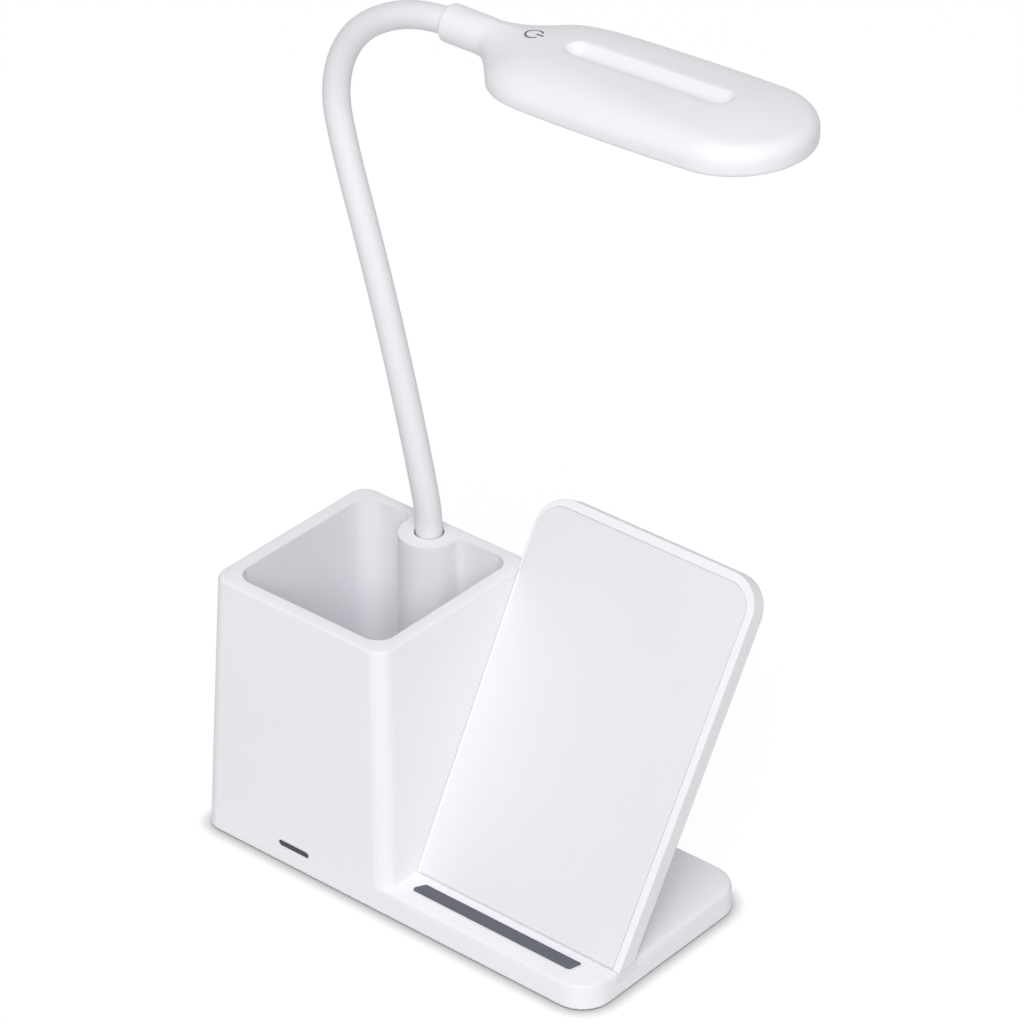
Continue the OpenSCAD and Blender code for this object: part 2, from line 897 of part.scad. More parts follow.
body_shell();
bottom_cover();
cover_screws();
rubber_feet();
rest_strip();
indicator_light_pipe();
indicator_led();
control_board();
charger_board();
usb_socket();
plate_rear_shell();
plate_front_panel();
plate_screws();
charging_coil();
ferrite_sheet();
coil_leads();
lamp_wire();
neck_lower_ferrule();
neck_lock_nut();
neck_core_0();
neck_core_1();
neck_core_2();
neck_core_3();
neck_core_4();
neck_core_5();
neck_core_6();
neck_core_7();
neck_core_8();
neck_sleeve_0();
neck_sleeve_1();
neck_sleeve_2();
neck_sleeve_3();
neck_sleeve_4();
neck_sleeve_5();
neck_sleeve_6();
neck_sleeve_7();
neck_sleeve_8();
neck_upper_ferrule();
head_top_shell();
diffuser();
led_board();
leds();
head_screws();
head_wire();
touch_pad();
touch_contact();
power_mark();
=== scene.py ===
# %% [markdown]
# # A desk lamp with a pen pot and a phone charging plate
#
# The solids of the lamp come from CAD and are loaded first as a fixed frame. This script
# dresses them. It gives each piece its finish, makes the neck's smooth sleeve, the head's
# shell and the rest strip, and sets up the light and the camera. Blender works in metres,
# so the shapes are written in millimetres and scaled. The origin lies on the table.

# %% Load the frame
import json
import math

import bmesh
import bpy
import numpy as np
from mathutils import Matrix, Vector


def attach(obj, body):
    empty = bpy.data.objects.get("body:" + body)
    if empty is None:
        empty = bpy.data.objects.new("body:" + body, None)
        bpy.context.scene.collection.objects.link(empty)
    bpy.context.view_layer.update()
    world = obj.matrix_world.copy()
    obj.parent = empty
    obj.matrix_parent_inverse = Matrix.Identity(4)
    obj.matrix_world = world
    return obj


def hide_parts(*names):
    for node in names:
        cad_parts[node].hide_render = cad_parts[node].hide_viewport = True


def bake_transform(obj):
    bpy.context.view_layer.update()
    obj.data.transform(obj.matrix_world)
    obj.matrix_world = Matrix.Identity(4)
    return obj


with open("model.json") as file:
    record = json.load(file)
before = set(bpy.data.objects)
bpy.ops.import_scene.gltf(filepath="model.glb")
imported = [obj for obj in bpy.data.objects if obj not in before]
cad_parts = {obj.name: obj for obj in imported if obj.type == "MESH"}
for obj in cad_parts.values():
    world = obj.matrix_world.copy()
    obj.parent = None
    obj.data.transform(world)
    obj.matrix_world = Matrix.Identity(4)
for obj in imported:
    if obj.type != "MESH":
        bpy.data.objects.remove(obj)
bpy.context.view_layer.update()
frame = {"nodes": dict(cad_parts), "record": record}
nodes = frame["nodes"]
MM = 0.001

# %% [markdown]
# ## Shared effects
#
# Nearly every piece is white plastic, silicone or rubber. Such surfaces differ in small
# ways: a slight drift of tone over a large face, a fine grain left by the mould, and a
# gloss that is never quite even. Painted textures could show this, but they would need an
# unwrapped mesh. Each effect is one node group instead, built once. The groups read object
# coordinates, so the grain keeps its real size on every piece.

# %% Node group helpers
FLOAT = "NodeSocketFloat"
COLOUR = "NodeSocketColor"


def new_group(name, inputs, outputs):
    """A shader node group with named float or colour sockets."""
    group = bpy.data.node_groups.new(name, "ShaderNodeTree")
    for label, kind, value in inputs:
        socket = group.interface.new_socket(label, in_out="INPUT", socket_type=kind)
        socket.default_value = value
    for label, kind in outputs:
        group.interface.new_socket(label, in_out="OUTPUT", socket_type=kind)
    inner = group.nodes.new("NodeGroupInput")
    outer = group.nodes.new("NodeGroupOutput")
    return group, inner, outer


def add_math(tree, operation, a, b):
    """A Math node whose inputs are numbers or sockets."""
    node = tree.nodes.new("ShaderNodeMath")
    node.operation = operation
    for i, value in enumerate((a, b)):
        if isinstance(value, (int, float)):
            node.inputs[i].default_value = value
        else:
            tree.links.new(value, node.inputs[i])
    return node.outputs[0]


def add_noise(tree, scale, detail=2.0, rough=0.5):
    """Noise in object space; scale is a number or a socket, in cells per metre."""
    place = tree.nodes.new("ShaderNodeTexCoord")
    noise = tree.nodes.new("ShaderNodeTexNoise")
    noise.inputs["Detail"].default_value = detail
    noise.inputs["Roughness"].default_value = rough
    tree.links.new(place.outputs["Object"], noise.inputs["Vector"])
    if isinstance(scale, (int, float)):
        noise.inputs["Scale"].default_value = scale
    else:
        tree.links.new(scale, noise.inputs["Scale"])
    return noise.outputs["Fac"]


print("helpers for node groups: new_group, add_math, add_noise")

# %% The groups: tone drift, moulded grain, uneven gloss
WAVE_SCALE = 60.0

tone_drift, g_in, g_out = new_group(
    "tone_drift",
    [("Colour", COLOUR, (0.8, 0.8, 0.8, 1)), ("Amount", FLOAT, 0.03), ("Scale", FLOAT, 30.0)],
    [("Colour", COLOUR)])
factor = add_noise(tone_drift, g_in.outputs["Scale"], 3.0)
factor = add_math(tone_drift, "SUBTRACT", factor, 0.5)
factor = add_math(tone_drift, "MULTIPLY", factor, g_in.outputs["Amount"])
factor = add_math(tone_drift, "ADD", factor, 1.0)
shade = tone_drift.nodes.new("ShaderNodeVectorMath")
shade.operation = "SCALE"
tone_drift.links.new(g_in.outputs["Colour"], shade.inputs[0])
tone_drift.links.new(factor, shade.inputs["Scale"])
tone_drift.links.new(shade.outputs[0], g_out.inputs["Colour"])

mould_grain, g_in, g_out = new_group(
    "mould_grain", [("Scale", FLOAT, 2500.0), ("Waves", FLOAT, 0.2)], [("Height", FLOAT)])
pits = add_noise(mould_grain, g_in.outputs["Scale"], 2.0, 0.6)
wave = add_noise(mould_grain, WAVE_SCALE, 1.0)
wave = add_math(mould_grain, "MULTIPLY", wave, g_in.outputs["Waves"])
mould_grain.links.new(add_math(mould_grain, "ADD", pits, wave), g_out.inputs["Height"])

uneven_gloss, g_in, g_out = new_group(
    "uneven_gloss",
    [("Roughness", FLOAT, 0.4), ("Amount", FLOAT, 0.1), ("Scale", FLOAT, 90.0)],
    [("Roughness", FLOAT)])
gloss = add_noise(uneven_gloss, g_in.outputs["Scale"], 4.0)
gloss = add_math(uneven_gloss, "SUBTRACT", gloss, 0.5)
gloss = add_math(uneven_gloss, "MULTIPLY", gloss, g_in.outputs["Amount"])
gloss = add_math(uneven_gloss, "ADD", gloss, g_in.outputs["Roughness"])
uneven_gloss.links.new(gloss, g_out.inputs["Roughness"])
print("groups:", [g.name for g in bpy.data.node_groups])

# %% One material from the groups
TONE_RANGE = 0.03
GLOSS_RANGE = 0.08
GRAIN_DEPTH = 0.0002


def finish_of(name, colour, rough, grain=2500.0, bump=0.02, edge=0.0004, **sockets):
    """A material in linear colour, with drift, grain and uneven gloss.

    grain is in cells per metre, bump is its strength, and edge is the radius in metres that
    softens sharp edges. Other values go straight to the Principled BSDF's own sockets.
    """
    material = bpy.data.materials.new(name)
    material.use_nodes = True
    tree = material.node_tree
    shader = tree.nodes["Principled BSDF"]

    tone = tree.nodes.new("ShaderNodeGroup")
    tone.node_tree = tone_drift
    tone.inputs["Colour"].default_value = (*colour, 1)
    tone.inputs["Amount"].default_value = TONE_RANGE
    tree.links.new(tone.outputs["Colour"], shader.inputs["Base Color"])

    dull = tree.nodes.new("ShaderNodeGroup")
    dull.node_tree = uneven_gloss
    dull.inputs["Roughness"].default_value = rough
    dull.inputs["Amount"].default_value = GLOSS_RANGE
    tree.links.new(dull.outputs["Roughness"], shader.inputs["Roughness"])

    skin = tree.nodes.new("ShaderNodeGroup")
    skin.node_tree = mould_grain
    skin.inputs["Scale"].default_value = grain
    relief = tree.nodes.new("ShaderNodeBump")
    relief.inputs["Strength"].default_value = bump
    relief.inputs["Distance"].default_value = GRAIN_DEPTH
    tree.links.new(skin.outputs["Height"], relief.inputs["Height"])
    if edge:
        soft = tree.nodes.new("ShaderNodeBevel")
        soft.samples = 4
        soft.inputs["Radius"].default_value = edge
        tree.links.new(soft.outputs["Normal"], relief.inputs["Normal"])
    tree.links.new(relief.outputs["Normal"], shader.inputs["Normal"])
    for label, value in sockets.items():
        shader.inputs[label.replace("_", " ")].default_value = value
    return material


print("tone drifts by", TONE_RANGE, "and gloss by", GLOSS_RANGE)

# %% [markdown]
# ## Finishes
#
# The shell is white ABS with a satin skin, slightly cool in tone. The head and the plate
# come from moulds of their own and are a little darker. The panel of the plate is smoother,
# and the neck's sleeve is matt silicone. The phone's rest strip is a dark blue-grey rubber.
# Inside there are plated steel, copper, green boards and a dark ferrite sheet. Colours are
# linear values.

# %% The materials, one for each slot of the record and two for single mouldings
finishes = {
    "white_plastic": finish_of("white_satin_plastic", (0.885, 0.881, 0.918), 0.42, edge=0.0007),
    "white_panel": finish_of("white_smooth_panel", (0.78, 0.775, 0.812), 0.34,
                             bump=0.01, edge=0.0002),
    "white_silicone": finish_of("white_silicone", (0.805, 0.80, 0.835), 0.55,
                                grain=1800.0, bump=0.03),
    "grey_rubber": finish_of("blue_grey_rubber", (0.105, 0.110, 0.140), 0.6,
                             grain=1500.0, bump=0.08),
    "black_rubber": finish_of("black_foot_rubber", (0.03, 0.03, 0.03), 0.7,
                              grain=1500.0, bump=0.08),
    "steel": finish_of("plated_steel", (0.62, 0.62, 0.63), 0.3, bump=0.01, Metallic=1.0),
    "board_green": finish_of("green_board_lacquer", (0.02, 0.16, 0.06), 0.35),
    "board_aluminium": finish_of("white_lacquered_aluminium", (0.72, 0.72, 0.72), 0.4),
    "led_yellow": finish_of("phosphor_lens", (0.85, 0.72, 0.25), 0.3),
    "copper": finish_of("enamelled_copper", (0.75, 0.30, 0.13), 0.3, Metallic=1.0),
    "ferrite": finish_of("ferrite_sheet", (0.03, 0.03, 0.035), 0.65),
    "smoke_plastic": finish_of("smoked_window", (0.027, 0.028, 0.038), 0.25, bump=0.005),
    "opal_plastic": finish_of("opal_diffuser", (0.86, 0.86, 0.84), 0.35, bump=0.01),
    "wire_grey": finish_of("wire_jacket", (0.08, 0.08, 0.085), 0.45),
    "print_grey": finish_of("grey_pad_print", (0.09, 0.09, 0.13), 0.5, edge=0),
}
head_white = finish_of("white_head_plastic", (0.83, 0.827, 0.862), 0.42, edge=0.0007)
plate_white = finish_of("white_plate_plastic", (0.865, 0.861, 0.897), 0.42, edge=0.0003)
slot_of = {part["node"]: part["material_slot"] for part in frame["record"]["subparts"]}
for name, node in nodes.items():
    finish = plate_white if name == "plate_rear_shell" else finishes[slot_of[name]]
    node.data.materials.clear()
    node.data.materials.append(finish)
print("finishes:", len(finishes), "for slots, and", head_white.name, plate_white.name)

# %% [markdown]
# ## Smooth shading of the moulded forms
#
# The CAD forms come as flat facets. More facets would cost memory and still show in a
# gloss, so the light is smoothed instead. A modifier joins their points, another keeps the
# true edges sharp, and weighted normals let the large flat faces stay flat in the light.

# %% Smooth the CAD solids
WELD = 2e-6
SHARP_FROM = math.radians(28)
PANEL_GROWS = 0.0002

for name, node in nodes.items():
    for face in node.data.polygons:
        face.use_smooth = True
    weld = node.modifiers.new("join_points", "WELD")
    weld.merge_threshold = WELD
    if name == "plate_front_panel":
        # closes most of the fitting gap, so that the seam stays faint
        grow = node.modifiers.new("closer_fit", "DISPLACE")
        grow.strength, grow.mid_level = PANEL_GROWS, 0.0
    split = node.modifiers.new("keep_edges", "EDGE_SPLIT")
    split.split_angle = SHARP_FROM
    weigh = node.modifiers.new("flat_faces", "WEIGHTED_NORMAL")
    weigh.keep_sharp = True
print("smoothed", len(nodes), "nodes")

# %% [markdown]
# ## The neck's sleeve
#
# On the real lamp one silicone sleeve covers a steel coil that bends anywhere. The CAD has
# nine stiff links with a ball joint between each two, and a cut sleeve on every link. Here
# the sleeve is drawn again as one smooth tube along the same five arcs. A curve with a round
# section could draw it too, but rings of points stay at known places along the neck. The
# tube is made in eight pieces that meet in the middle of a link, and each piece lies across
# one joint.

# %% The centreline of the neck, in millimetres and degrees
COLUMN = (-43.55, 29.3, 100.5)
ARC_LENGTHS = (14.66, 109.05, 25.16, 44.68, 36.03)
ARC_TURNS = (-12.56, -5.50, 4.93, 67.75, 35.38)
NECK_LENGTH = sum(ARC_LENGTHS)
SLEEVE_R = 4.6
IN_COLUMN, IN_COLLAR = 6.0, 2.8


def neck_at(s):
    """Place in millimetres and heading in radians at the distance s along the neck."""
    x, z, heading = COLUMN[0], COLUMN[2], 0.0
    if s < 0:
        return Vector((x, COLUMN[1], z + s)), heading
    for length, turn in zip(ARC_LENGTHS, ARC_TURNS):
        rate = math.radians(turn) / length
        step = min(s, length)
        end = heading + rate * step
        x += (math.cos(heading) - math.cos(end)) / rate
        z += (math.sin(end) - math.sin(heading)) / rate
        heading = end
        s -= step
        if s <= 0:
            return Vector((x, COLUMN[1], z)), heading
    return Vector((x + s * math.sin(heading), COLUMN[1], z + s * math.cos(heading))), heading


bow_start = sum(ARC_LENGTHS[:3])
hinges = [ARC_LENGTHS[0] + ARC_LENGTHS[1] * k / 4 for k in range(5)]
hinges += [bow_start, bow_start + ARC_LENGTHS[3] / 2, bow_start + ARC_LENGTHS[3]]
cuts = [-IN_COLUMN] + [(a + b) / 2 for a, b in zip(hinges, hinges[1:])] + [NECK_LENGTH + IN_COLLAR]
print("neck length %.1f mm, joints at %s" % (NECK_LENGTH, [round(h, 1) for h in hinges]))

# %% Sleeve pieces
BEND = 9.0


def add_object(name, data):
    """A new object in the scene."""
    made = bpy.data.objects.new(name, data)
    bpy.context.collection.objects.link(made)
    return made


def tube(name, s0, s1, radius, step=1.2, around=48):
    """A round tube along the neck from s0 to s1, open at both ends."""
    count = max(2, round((s1 - s0) / step))
    points, faces = [], []
    for i in range(count + 1):
        centre, heading = neck_at(s0 + (s1 - s0) * i / count)
        side = Vector((math.cos(heading), 0, -math.sin(heading)))
        for j in range(around):
            turn = 2 * math.pi * j / around
            offset = radius * (math.cos(turn) * side + math.sin(turn) * Vector((0, 1, 0)))
            points.append((centre + offset) * MM)
    for i in range(count):
        for j in range(around):
            a, b = i * around + j, i * around + (j + 1) % around
            faces.append((a, b, b + around, a + around))
    mesh = bpy.data.meshes.new(name)
    mesh.from_pydata(points, [], faces)
    mesh.shade_smooth()
    return add_object(name, mesh)


for k, hinge in enumerate(hinges):
    sleeve = tube("sleeve_%d" % (k + 1), cuts[k], cuts[k + 1], SLEEVE_R)
    sleeve.data.materials.append(finishes["white_silicone"])
    before, after = neck_at(hinge - BEND)[0] * MM, neck_at(hinge + BEND)[0] * MM
    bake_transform(sleeve)
    covered = ["neck_sleeve_0"] if k == 0 else []
    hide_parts(*covered, "neck_sleeve_%d" % (k + 1))
print("sleeve pieces:", len(hinges))

# %% [markdown]
# ## The head's shell
#
# The real head is one smooth moulding, like a flat spoon. A round collar takes the neck's
# end, opens out in two shoulders and becomes a thin pad with full, soft edges. The CAD has
# the same form in short facets. A subdivided cage could smooth it, but would also round the
# cuts. Here the outline is one closed curve, and the top and the underside are height fields
# that fall away with the distance from that curve. So the edge rolls over evenly all the way
# round, as a mould maker would cut it. The top has a slight crown, up to 3 mm high. The
# hollow, the long recess with its soft bottom and the opening for the diffuser are cut out
# with booleans.

# %% The head's outline and heights, in millimetres
HEAD_Y, HEAD_Z = 29.3, 294.6
COLLAR_R = 6.5
OUTLINE = [(-32.0, 6.5), (-22.0, 6.5), (-17.5, 6.6), (-14.0, 7.5), (-9.5, 11.0), (-5.0, 15.7),
           (0.0, 20.9), (6.0, 24.2), (13.0, 25.8), (22.0, 26.4), (40.0, 26.7), (62.0, 26.5),
           (81.5, 25.9)]
STEERING_KNOT = (98.0, 25.9)
TIP_X, TIP_LONG, TIP_STEPS = 106.9, 25.4, 40
PAD_X, PAD_TOP, PAD_BASE = 7.7, 302.0, 289.6
BASE_RISE = 2.7
CROWN_REACH = 26


def eased(x, x0, x1, v0, v1):
    """v0 before x0, v1 after x1, with a smooth change between."""
    t = min(1.0, max(0.0, (x - x0) / (x1 - x0)))
    return v0 + (v1 - v0) * t * t * (3 - 2 * t)


def curve_point(p0, p1, p2, p3, t):
    """The point at t between p1 and p2, on a smooth curve through all four."""
    return tuple(0.5 * (2 * b + (c - a) * t + (2 * a - 5 * b + 4 * c - d) * t * t
                        + (3 * b - a - 3 * c + d) * t ** 3)
                 for a, b, c, d in zip(p0, p1, p2, p3))


def head_side():
    """One side of the outline from the collar to the tip, as (x, half width)."""
    knots = [OUTLINE[0]] + OUTLINE + [STEERING_KNOT]
    side = []
    for p0, p1, p2, p3 in zip(knots, knots[1:], knots[2:], knots[3:]):
        count = max(3, round(p2[0] - p1[0]))
        side += [curve_point(p0, p1, p2, p3, k / count) for k in range(count)]
    middle, width = TIP_X - TIP_LONG, OUTLINE[-1][1]
    for k in range(TIP_STEPS + 1):
        a = math.pi / 2 * (1 - k / TIP_STEPS)
        side.append((middle + TIP_LONG * math.cos(a), width * math.sin(a)))
    return np.array(side)


def far_from(outline, points):
    """Shortest distance from each point to the outline."""
    a, b = outline[:-1], outline[1:]
    ab = b - a
    out = []
    for p in points:
        t = np.clip(((p - a) * ab).sum(1) / (ab * ab).sum(1), 0, 1)
        out.append(np.sqrt((((a + ab * t[:, None]) - p) ** 2).sum(1).min()))
    return np.array(out)


def roll(d, reach, fall):
    """Drop of a rounded edge at the distance d inside the outline."""
    t = min(1.0, max(0.0, d / reach))
    return fall * (1 - math.sqrt(max(0.0, 1 - (1 - t) ** 2)))


def head_heights(x, d):
    """Underside and top of the head at x, at the distance d inside the outline."""
    pad = min(1.0, max(0.0, (x - PAD_X) / (TIP_X - PAD_X)))
    top = eased(x, -20, 2, HEAD_Z + COLLAR_R, PAD_TOP - 1.4 * pad)
    crown = eased(x, 4, 34, 0, 1.5) + eased(x, 30, 84, 0, 1.9)
    top += crown * (1 - (1 - min(1.0, d / CROWN_REACH)) ** 2)
    base = eased(x, -20, -6, HEAD_Z - COLLAR_R, PAD_BASE + BASE_RISE * pad)
    low = eased(x, -20, -6, COLLAR_R, 1.3)
    reach = eased(x, -20, 2, COLLAR_R, 19.0 - 16.0 * pad)
    fall = eased(x, -20, 2, COLLAR_R, 10.2 - 6.4 * pad)
    return base + roll(d, low, low), top - roll(d, reach, fall)


print("head outline:", len(head_side()), "points on each side")

# %% A closed solid of the head's form
# rows of points run inwards from the outline, close together where the edge is round
ROW_STEPS = [0, 0.08, 0.3, 0.7, 1.2, 1.9, 2.8, 3.9, 5.2, 6.8, 8.5, 10.5, 12.5]
LONG_ROW = 14
TURN_X = TIP_X - TIP_LONG - 10


def solid_from(name, points, faces):
    """An object from points and faces, welded and with its normals outwards."""
    mesh = bpy.data.meshes.new(name)
    mesh.from_pydata(points, [], faces)
    work = bmesh.new()
    work.from_mesh(mesh)
    bmesh.ops.remove_doubles(work, verts=work.verts, dist=WELD)
    bmesh.ops.recalc_face_normals(work, faces=work.faces)
    work.to_mesh(mesh)
    work.free()
    return add_object(name, mesh)


def head_solid(name, inset=0.0, x_start=OUTLINE[0][0], lift=0.0, lower=0.0):
    """A closed solid of the head's form, or of a hollow that stands in from it."""
    side = head_side()
    full = np.vstack([side, (side * (1, -1))[::-1][1:]])
    side = side[side[:, 0] >= x_start]
    if inset:
        step = np.gradient(side, axis=0)
        normal = np.column_stack([step[:, 1], -step[:, 0]])
        normal /= np.linalg.norm(normal, axis=1)[:, None]
        normal[0], normal[-1] = (0, -1), (-1, 0)
        side = side + normal * inset
    rows = []
    for x, w in side:
        # the row runs to the middle line, and near the tip it leans towards the collar
        c = x if x < TURN_X else TURN_X + (x - TURN_X) * 0.5
        length = math.hypot(x - c, w)
        steps = [s * min(1.0, length / LONG_ROW) / length for s in ROW_STEPS]
        steps += [steps[-1] + (1 - steps[-1]) * k / 4 for k in range(1, 5)]
        rows.append([(x + (c - x) * t, w * (1 - t)) for t in steps])
    grid = np.array(rows)
    grid = np.concatenate([grid, (grid * (1, -1))[:, ::-1][:, 1:]], axis=1)
    count, wide = grid.shape[:2]
    deep = far_from(full, grid.reshape(-1, 2)).reshape(count, wide)
    points, faces = [], []
    for level in (0, 1):
        for i in range(count):
            for j in range(wide):
                x, y = grid[i, j]
                low, high = head_heights(x, deep[i, j])
                z = high - lower if level else low + lift
                points.append(Vector((x, HEAD_Y + y, z)) * MM)
    flat = count * wide
    for i in range(count - 1):
        for j in range(wide - 1):
            a, b = i * wide + j, i * wide + j + 1
            faces.append((a, b, b + wide, a + wide))
            faces.append((a + flat, a + wide + flat, b + wide + flat, b + flat))
        for a, b in ((i * wide, (i + 1) * wide), ((i + 2) * wide - 1, (i + 1) * wide - 1)):
            faces.append((a, b, b + flat, a + flat))
    for j in range(wide - 1):
        faces.append((j + 1, j, j + flat, j + 1 + flat))
    return solid_from(name, points, faces)


shell = head_solid("head_shell")
print("head form:", len(shell.data.polygons), "faces")


# %% Cutting tools
def prism(name, loop, z0, z1, place=Matrix()):
    """A straight solid on a closed loop of (x, y) in millimetres, from z0 to z1."""
    count = len(loop)
    points = [place @ Vector((x, y, z)) * MM for z in (z0, z1) for x, y in loop]
    faces = [tuple(range(count)), tuple(range(count, 2 * count))]
    faces += [(i, (i + 1) % count, (i + 1) % count + count, i + count) for i in range(count)]
    return solid_from(name, points, faces)


def stack(name, rings, place=Matrix()):
    """A closed solid through rings of equal length, each a list of points in millimetres."""
    count = len(rings[0])
    points = [place @ Vector(p) * MM for ring in rings for p in ring]
    faces = [tuple(range(count)), tuple(range(len(points) - count, len(points)))]
    for k in range(len(rings) - 1):
        for i in range(count):
            a, b = k * count + i, k * count + (i + 1) % count
            faces.append((a, b, b + count, a + count))
    return solid_from(name, points, faces)


def capsule(x0, x1, r0, r1=None, around=40):
    """Loop of a long round-ended shape along X, as (x, y)."""
    r1 = r0 if r1 is None else r1
    half = [math.pi * (k / around - 0.5) for k in range(around + 1)]
    loop = [(x1 + r1 * math.cos(a), r1 * math.sin(a)) for a in half]
    return loop + [(x0 - r0 * math.cos(a), -r0 * math.sin(a)) for a in half]


def circle(x, y, r, around=32):
    """Loop of a circle."""
    turns = [2 * math.pi * k / around for k in range(around)]
    return [(x + r * math.cos(a), y + r * math.sin(a)) for a in turns]


def combine(target, tool, operation="DIFFERENCE"):
    """Apply one exact boolean to target and remove the tool."""
    step = target.modifiers.new("cut", "BOOLEAN")
    step.operation = operation
    step.solver = "EXACT"
    step.object = tool
    depsgraph = bpy.context.evaluated_depsgraph_get()
    mesh = bpy.data.meshes.new_from_object(target.evaluated_get(depsgraph))
    target.modifiers.clear()
    target.data = mesh
    bpy.data.objects.remove(tool)


def dress(piece, material, sharp_from):
    """Give the piece its material, and keep edges sharp from an angle in degrees."""
    piece.data.set_sharp_from_angle(angle=math.radians(sharp_from))
    piece.data.materials.clear()
    piece.data.materials.append(material)


print("cutting tools: prism and stack on capsule and circle, combine, dress")

# %% Where the cuts go
# places on the sloping underside, on the sloping top of the recess, and along the collar
under = Matrix.Translation((-6, HEAD_Y, PAD_BASE))
under @= Matrix.Rotation(-math.atan2(BASE_RISE, 112.0), 4, "Y")
over = Matrix.Translation((PAD_X, HEAD_Y, 302.18)) @ Matrix.Rotation(-0.0306, 4, "Y")
lengthwise = Matrix.Translation((0, HEAD_Y, HEAD_Z)) @ Matrix.Rotation(math.pi / 2, 4, "Y")
sign = Matrix.Translation((0, HEAD_Y, 0))

LIGHT_ENDS = (17, 88)
BOSSES = ((16, 11.2), (96, 9.6))
RECESS_ENDS = (19.8 - PAD_X, 75.2 - PAD_X)
# height and half width, from the recess's floor to above the top
RECESS_PROFILE = [(-3.19, 0.3), (-3.06, 1.0), (-2.79, 1.7), (-2.38, 2.4), (-1.92, 3.0),
                  (-1.36, 3.6), (-0.82, 4.1), (-0.4, 4.45), (-0.2, 4.64), (-0.08, 4.85),
                  (0.0, 5.15), (0.1, 5.9), (0.7, 8.0)]
RECESS_BLOCK = [(-6.0, 6.5), (3.0, 6.5)]
SIGN_X, SIGN_OUTER, SIGN_INNER, SIGN_STEPS = 2, 3.1, 2.45, 60
SIGN_HEIGHTS = (300.6, 304)


def trough(levels):
    """Rings of the recess's outline, one for each height and half width."""
    return [[(x, y, h) for x, y in capsule(*RECESS_ENDS, r)] for h, r in levels]


def power_loops():
    """Loops of the power symbol: an open ring, and the bar in its gap."""
    gap = math.radians(35)
    turns = [gap + (2 * math.pi - 2 * gap) * k / SIGN_STEPS for k in range(SIGN_STEPS + 1)]
    ring = [(SIGN_X + r * math.cos(a), r * math.sin(a))
            for r, way in ((SIGN_OUTER, turns), (SIGN_INNER, turns[::-1])) for a in way]
    return ring, [(2.9, -0.33), (5.8, -0.33), (5.8, 0.33), (2.9, 0.33)]


print("recess: %.1f mm between its end centres" % (RECESS_ENDS[1] - RECESS_ENDS[0]))

# %% The head's shell, hollowed and cut
hollow = head_solid("head_hollow", inset=3.5, x_start=-9.0, lift=2.0, lower=2.4)
combine(hollow, stack("recess_block", trough(RECESS_BLOCK), over))
for x, top in BOSSES:
    combine(hollow, prism("boss", circle(x, 0, 2.4), 0.5, top, under))
combine(shell, hollow)
combine(shell, stack("recess", trough(RECESS_PROFILE), over))
combine(shell, prism("opening", capsule(*LIGHT_ENDS, 17.15, 17.65, 64), -3, 1.8, under))
combine(shell, prism("ledge", capsule(*LIGHT_ENDS, 15.8, 16.3, 64), 1.5, 3.0, under))
combine(shell, prism("bore", circle(0, 0, 4.65, 48), -33, -4, lengthwise))
for x, _ in BOSSES:
    combine(shell, prism("screw_hole", circle(x, 0, 0.9), 2.5, 7.5, under))
for loop in power_loops():
    combine(shell, prism("pocket", loop, *SIGN_HEIGHTS, sign))
dress(shell, head_white, 30)
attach(shell, "head")
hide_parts("head_top_shell")
print("head shell:", len(shell.data.polygons), "faces")

# %% [markdown]
# ## The diffuser and the power symbol
#
# An opal pane spreads the light under the head, and a printed symbol shows where to touch.
# Flat plates would stand proud of the curved shell in some places and sink in at others. So
# each is cut from the same closed form as the shell, and lies flush with it.

# %% The diffuser and the power symbol, flush with the shell
pane = head_solid("diffuser_pane")
combine(pane, prism("opening", capsule(*LIGHT_ENDS, 17.0, 17.5, 64), -3, 1.6, under), "INTERSECT")
inlays = [(pane, "opal_plastic", "diffuser")]
for k, loop in enumerate(power_loops()):
    mark = head_solid("power_symbol_%d" % k)
    combine(mark, prism("print", loop, *SIGN_HEIGHTS, sign), "INTERSECT")
    inlays.append((mark, "print_grey", "power_mark"))
for piece, slot, name in inlays:
    dress(piece, finishes[slot], 30)
    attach(piece, "head")
    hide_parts(name)
print("fitted:", [piece.name for piece, slot, name in inlays])

# %% [markdown]
# ## The phone's rest strip
#
# A strip of soft rubber is pressed into a groove in front of the plate, and the phone stands
# on it. It is 0.7 mm proud of the base. A moulded rubber edge is never sharp, so the rings
# here draw in towards the top, and a thin light line runs along the front. A bevel would do
# much the same, but rings keep the slanted ends exact.

# %% The rest strip, in millimetres
STRIP = [(5.9, -30.15), (3.9, -33.8), (4.2, -34.75), (70.6, -34.75), (71.5, -34.3),
         (72.6, -30.15)]
# height, and how far the ring is drawn in there
STRIP_LEVELS = [(8.4, 0.0), (10.0, 0.0), (10.14, 0.03), (10.24, 0.12), (10.3, 0.3)]


def pulled_in(loop, d):
    """A convex loop, in the same turning sense, with every side moved inwards by d."""
    out = []
    for a, b, c in zip(loop[-1:] + loop[:-1], loop, loop[1:] + loop[:1]):
        sides = [(Vector(q) - Vector(p)).normalized() for p, q in ((a, b), (b, c))]
        inward = [Vector((-side.y, side.x)) for side in sides]
        out.append(tuple(Vector(b) + (inward[0] + inward[1]) * d / (1 + inward[0].dot(inward[1]))))
    return out


strip = stack("phone_rest", [[(x, y, z) for x, y in pulled_in(STRIP, d)] for z, d in STRIP_LEVELS])
dress(strip, finishes["grey_rubber"], 40)
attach(strip, "base")
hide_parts("rest_strip")
print("rest strip: %d faces" % len(strip.data.polygons))

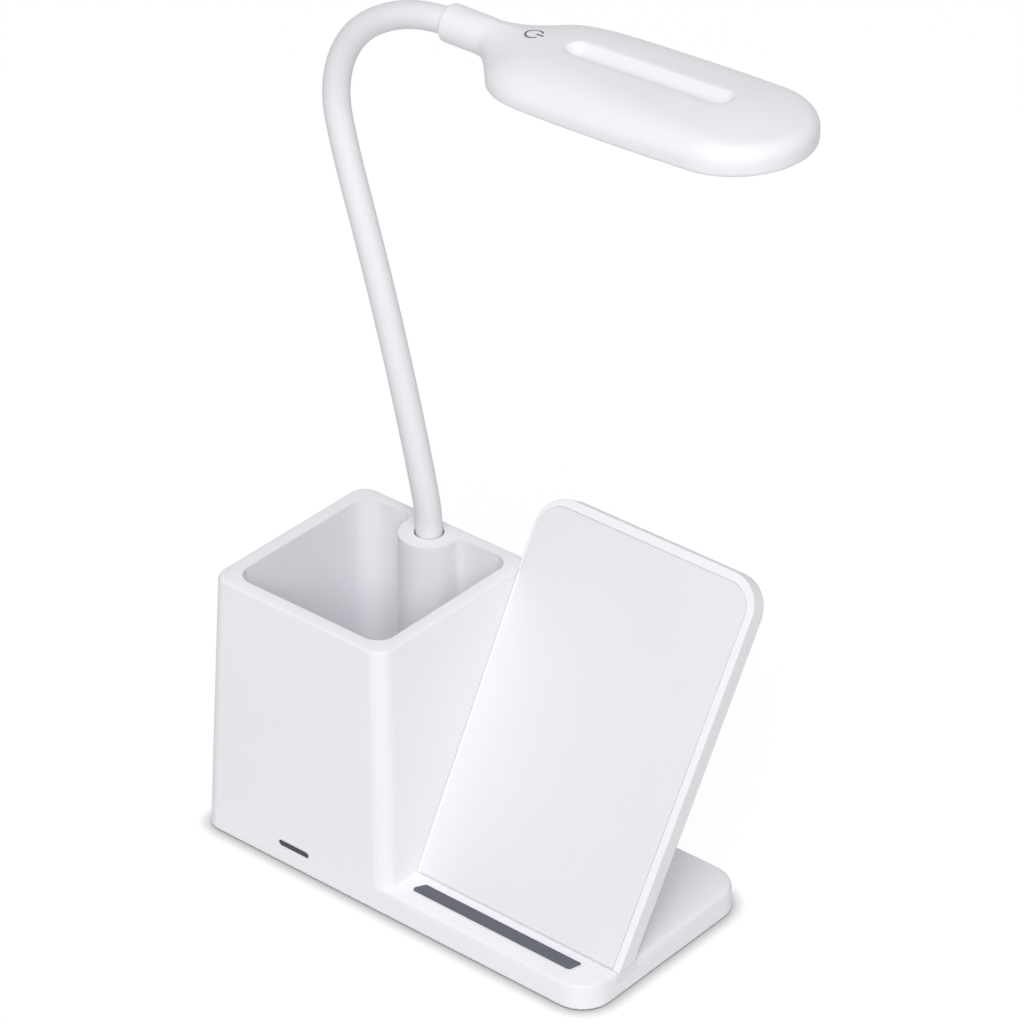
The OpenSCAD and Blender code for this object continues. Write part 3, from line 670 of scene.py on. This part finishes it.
# %% [markdown]
# ## Floor, light and camera
#
# The lamp stands on a plain white sweep. Two broad square lamps, 3 m away, light it from the
# front right and from above, and a dim white room fills the shadows. In such a picture the
# sweep is near white and shows only a narrow shadow where the base meets it. A lit floor
# would be grey or its shadow wide. So the floor glows for the camera, less where something
# stands within 5.5 mm. Its own colour is dark for the camera and pale for all other rays,
# which light the object from below.

# %% Floor and world
FLOOR_SIDE = 4
FLOOR_PALE, FLOOR_DARKER = 0.7, 0.6
SHADE_REACH, SHADE_POWER, GLOW = 0.0055, 1.2, 0.93
ROOM = 0.37


def bright_to(tree):
    """1 for rays from the camera, a mirror or a clear body, and 0 for the others."""
    path = tree.nodes.new("ShaderNodeLightPath")
    seen = add_math(tree, "MAXIMUM", path.outputs["Is Camera Ray"], path.outputs["Is Glossy Ray"])
    return add_math(tree, "MAXIMUM", seen, path.outputs["Is Transmission Ray"])


corners = [(x * FLOOR_SIDE, y * FLOOR_SIDE, 0) for x, y in ((-1, -1), (1, -1), (1, 1), (-1, 1))]
floor_mesh = bpy.data.meshes.new("floor")
floor_mesh.from_pydata(corners, [], [(0, 1, 2, 3)])
floor = add_object("floor", floor_mesh)
paper = bpy.data.materials.new("white_sweep")
paper.use_nodes = True
tree = paper.node_tree
matt = tree.nodes["Principled BSDF"]
darker = add_math(tree, "MULTIPLY", bright_to(tree), FLOOR_DARKER)
tree.links.new(add_math(tree, "SUBTRACT", FLOOR_PALE, darker), matt.inputs["Base Color"])
matt.inputs["Roughness"].default_value = 0.9
matt.inputs["Specular IOR Level"].default_value = 0.0
glow = tree.nodes.new("ShaderNodeEmission")
near = tree.nodes.new("ShaderNodeAmbientOcclusion")
near.samples = 16
near.inputs["Distance"].default_value = SHADE_REACH
open_sky = add_math(tree, "POWER", near.outputs["AO"], SHADE_POWER)
open_sky = add_math(tree, "MULTIPLY", open_sky, GLOW)
tree.links.new(add_math(tree, "MULTIPLY", bright_to(tree), open_sky), glow.inputs["Strength"])
both = tree.nodes.new("ShaderNodeAddShader")
tree.links.new(matt.outputs[0], both.inputs[0])
tree.links.new(glow.outputs[0], both.inputs[1])
tree.links.new(both.outputs[0], tree.nodes["Material Output"].inputs["Surface"])
floor.data.materials.append(paper)

world = bpy.data.worlds.new("soft_room")
bpy.context.scene.world = world
world.use_nodes = True
tree = world.node_tree
room = tree.nodes["Background"]
room.inputs["Color"].default_value = (1, 1, 1, 1)
level = add_math(tree, "MULTIPLY", bright_to(tree), 1 - ROOM)
tree.links.new(add_math(tree, "ADD", level, ROOM), room.inputs["Strength"])
print("floor:", paper.name, "room:", world.name, "at", ROOM)

# %% Lamps
LAMP_SIZE = 1.5
LAMPS_AIM = (0, 0, 0.12)


def soft_lamp(name, place, power):
    """A square area lamp that faces the middle of the object."""
    light = bpy.data.lights.new(name, "AREA")
    light.energy = power
    light.size = LAMP_SIZE
    lamp = add_object(name, light)
    lamp.location = place
    lamp.rotation_euler = (Vector(LAMPS_AIM) - Vector(place)).to_track_quat("-Z", "Y").to_euler()
    print("%s: %.1f W, %.2f m away" % (name, power, Vector(place).length))


soft_lamp("front_lamp", (1.599, -1.905, 1.798), 43.5)
soft_lamp("high_lamp", (0.704, -1.220, 2.769), 26.5)

# %% Camera
eye = bpy.data.cameras.new("camera")
eye.lens = 174.34
eye.sensor_width = 36.0
camera = add_object("camera", eye)
camera.location = (0.8897, -1.0323, 0.9918)
camera.rotation_euler = (math.radians(90 - 32.014), 0, math.radians(40.187))
bpy.context.scene.camera = camera
bpy.context.scene.view_settings.view_transform = "Standard"
print("camera: %.2f m from the origin, %.0f mm lens" % (camera.location.length, eye.lens))
